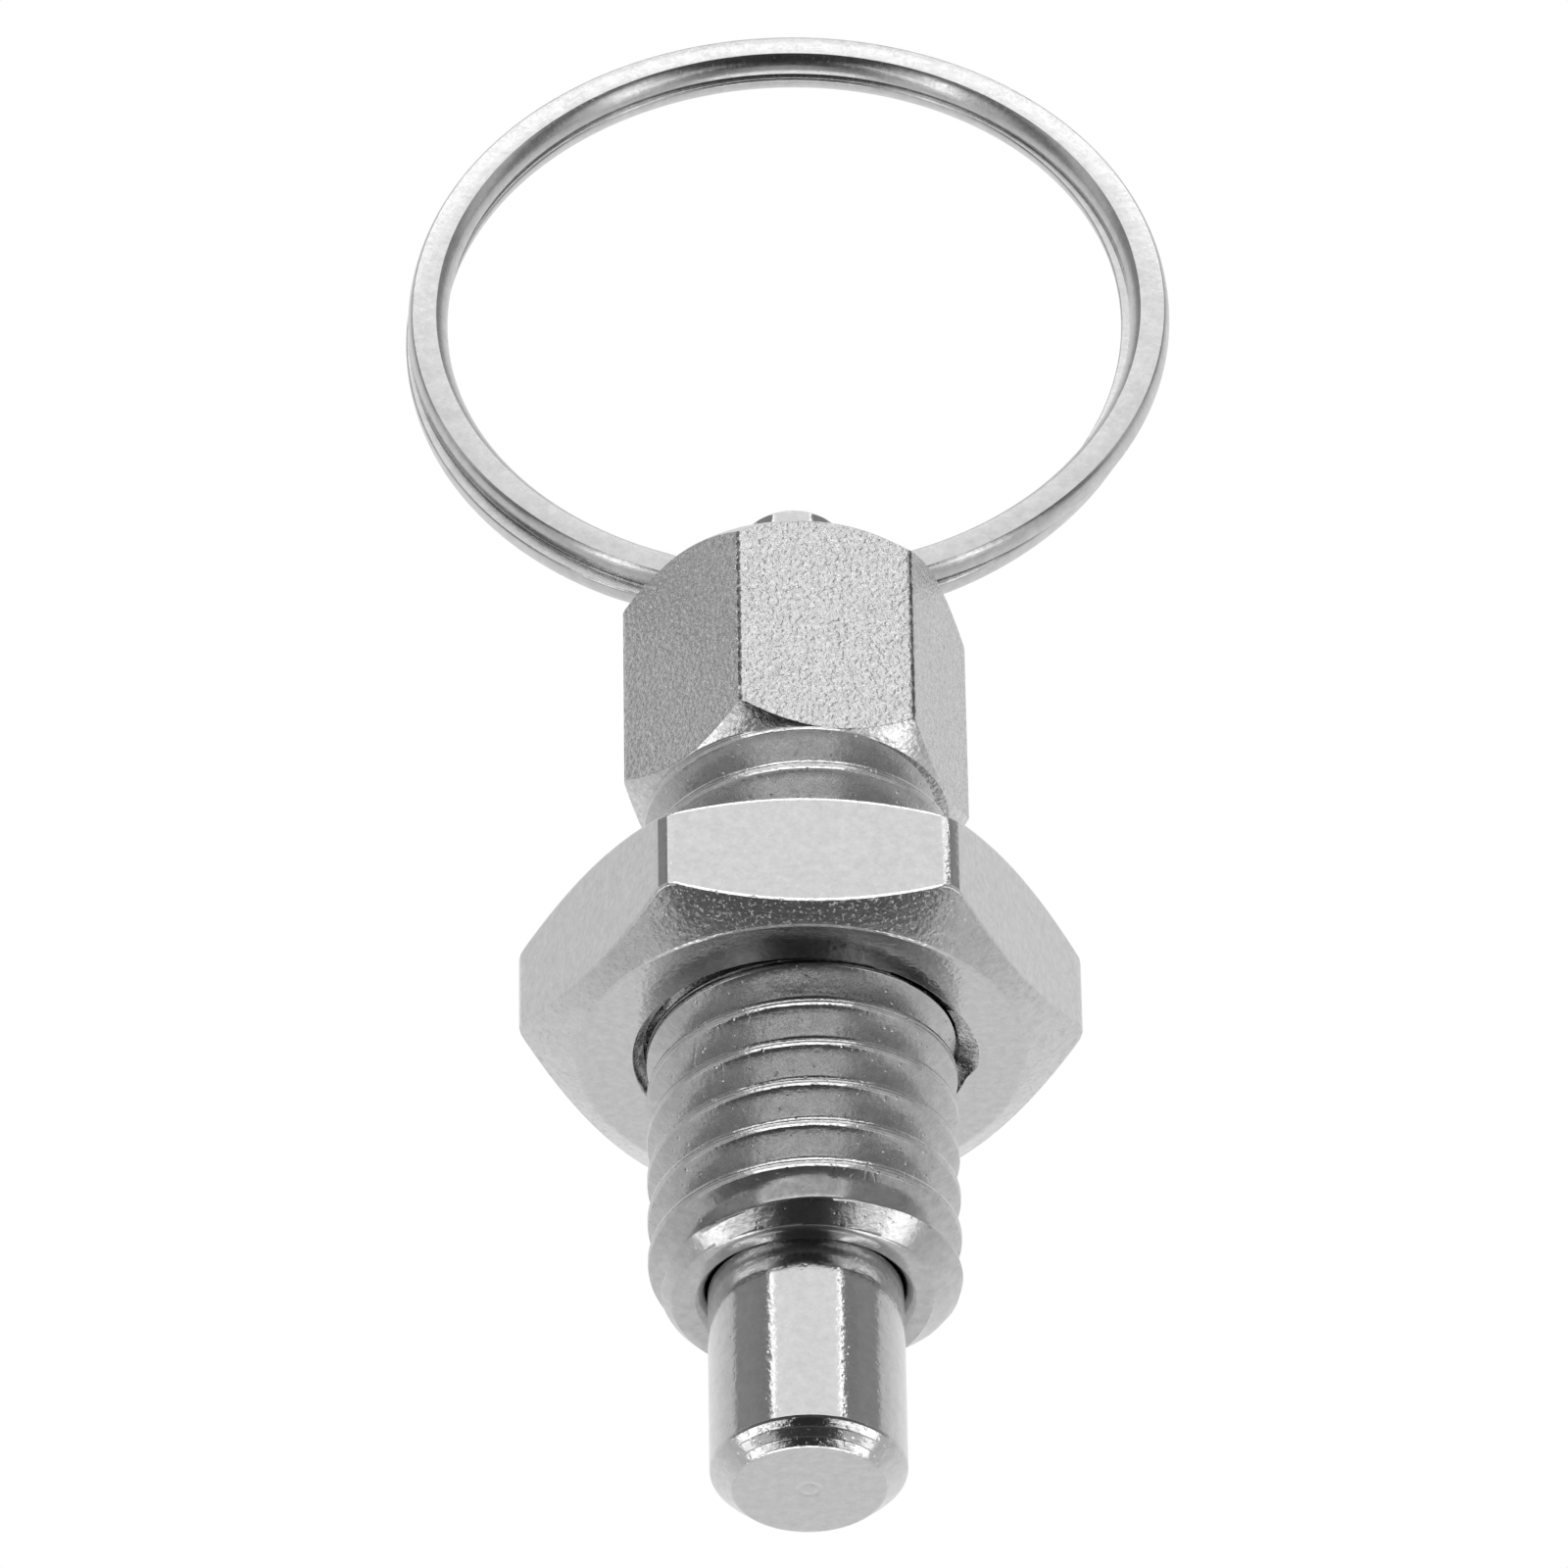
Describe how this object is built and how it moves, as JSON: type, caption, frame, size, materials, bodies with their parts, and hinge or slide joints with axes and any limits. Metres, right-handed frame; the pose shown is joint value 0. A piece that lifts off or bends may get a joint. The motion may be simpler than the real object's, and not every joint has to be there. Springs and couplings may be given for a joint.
{
  "type": "indexing plunger",
  "caption": "Spring-loaded indexing plunger: threaded sleeve with hexagon head, lock nut, sliding pin and a split pull ring.",
  "frame": {"origin": "on the plunger's axis, in the clamping face of the lock nut", "axes": "+Z along the plunger towards the pin's tip; +X across it, along the eye that carries the ring; +Y is the side to which the pull ring's far end leans"},
  "size_m": [0.0205, 0.013, 0.049],
  "materials": {
    "stainless_sleeve": "fine blasted stainless steel with turned faces",
    "stainless_pin": "ground stainless steel, satin",
    "spring_steel": "drawn spring wire",
    "stainless_nut": "cold-formed stainless steel, semi-bright",
    "ring_steel": "rolled flat wire, semi-bright"
  },
  "bodies": {
    "sleeve": {"body": "stainless_sleeve"},
    "pin": {"index_pin": "stainless_pin", "spring": "spring_steel"},
    "nut": {"lock_nut": "stainless_nut"},
    "ring": {"pull_ring": "ring_steel"}
  },
  "joints": [
    {"name": "pin_slide", "type": "slide", "parent": "sleeve", "child": "pin", "axis": [0, 0, -1], "range_m": [0, 0.0057], "stiffness_N_per_m": 1000, "springref_m": -0.006, "deforming": ["spring"]},
    {"name": "ring_swing", "type": "hinge", "parent": "pin", "child": "ring", "pos_m": [0, 0, -0.01535], "axis": [1, 0, 0], "range_deg": [-120, 108]},
    {"name": "nut_turn", "type": "hinge", "parent": "sleeve", "child": "nut", "pos_m": [0, 0, -0.00195], "axis": [0, 0, 1], "continuous": true}
  ]
}
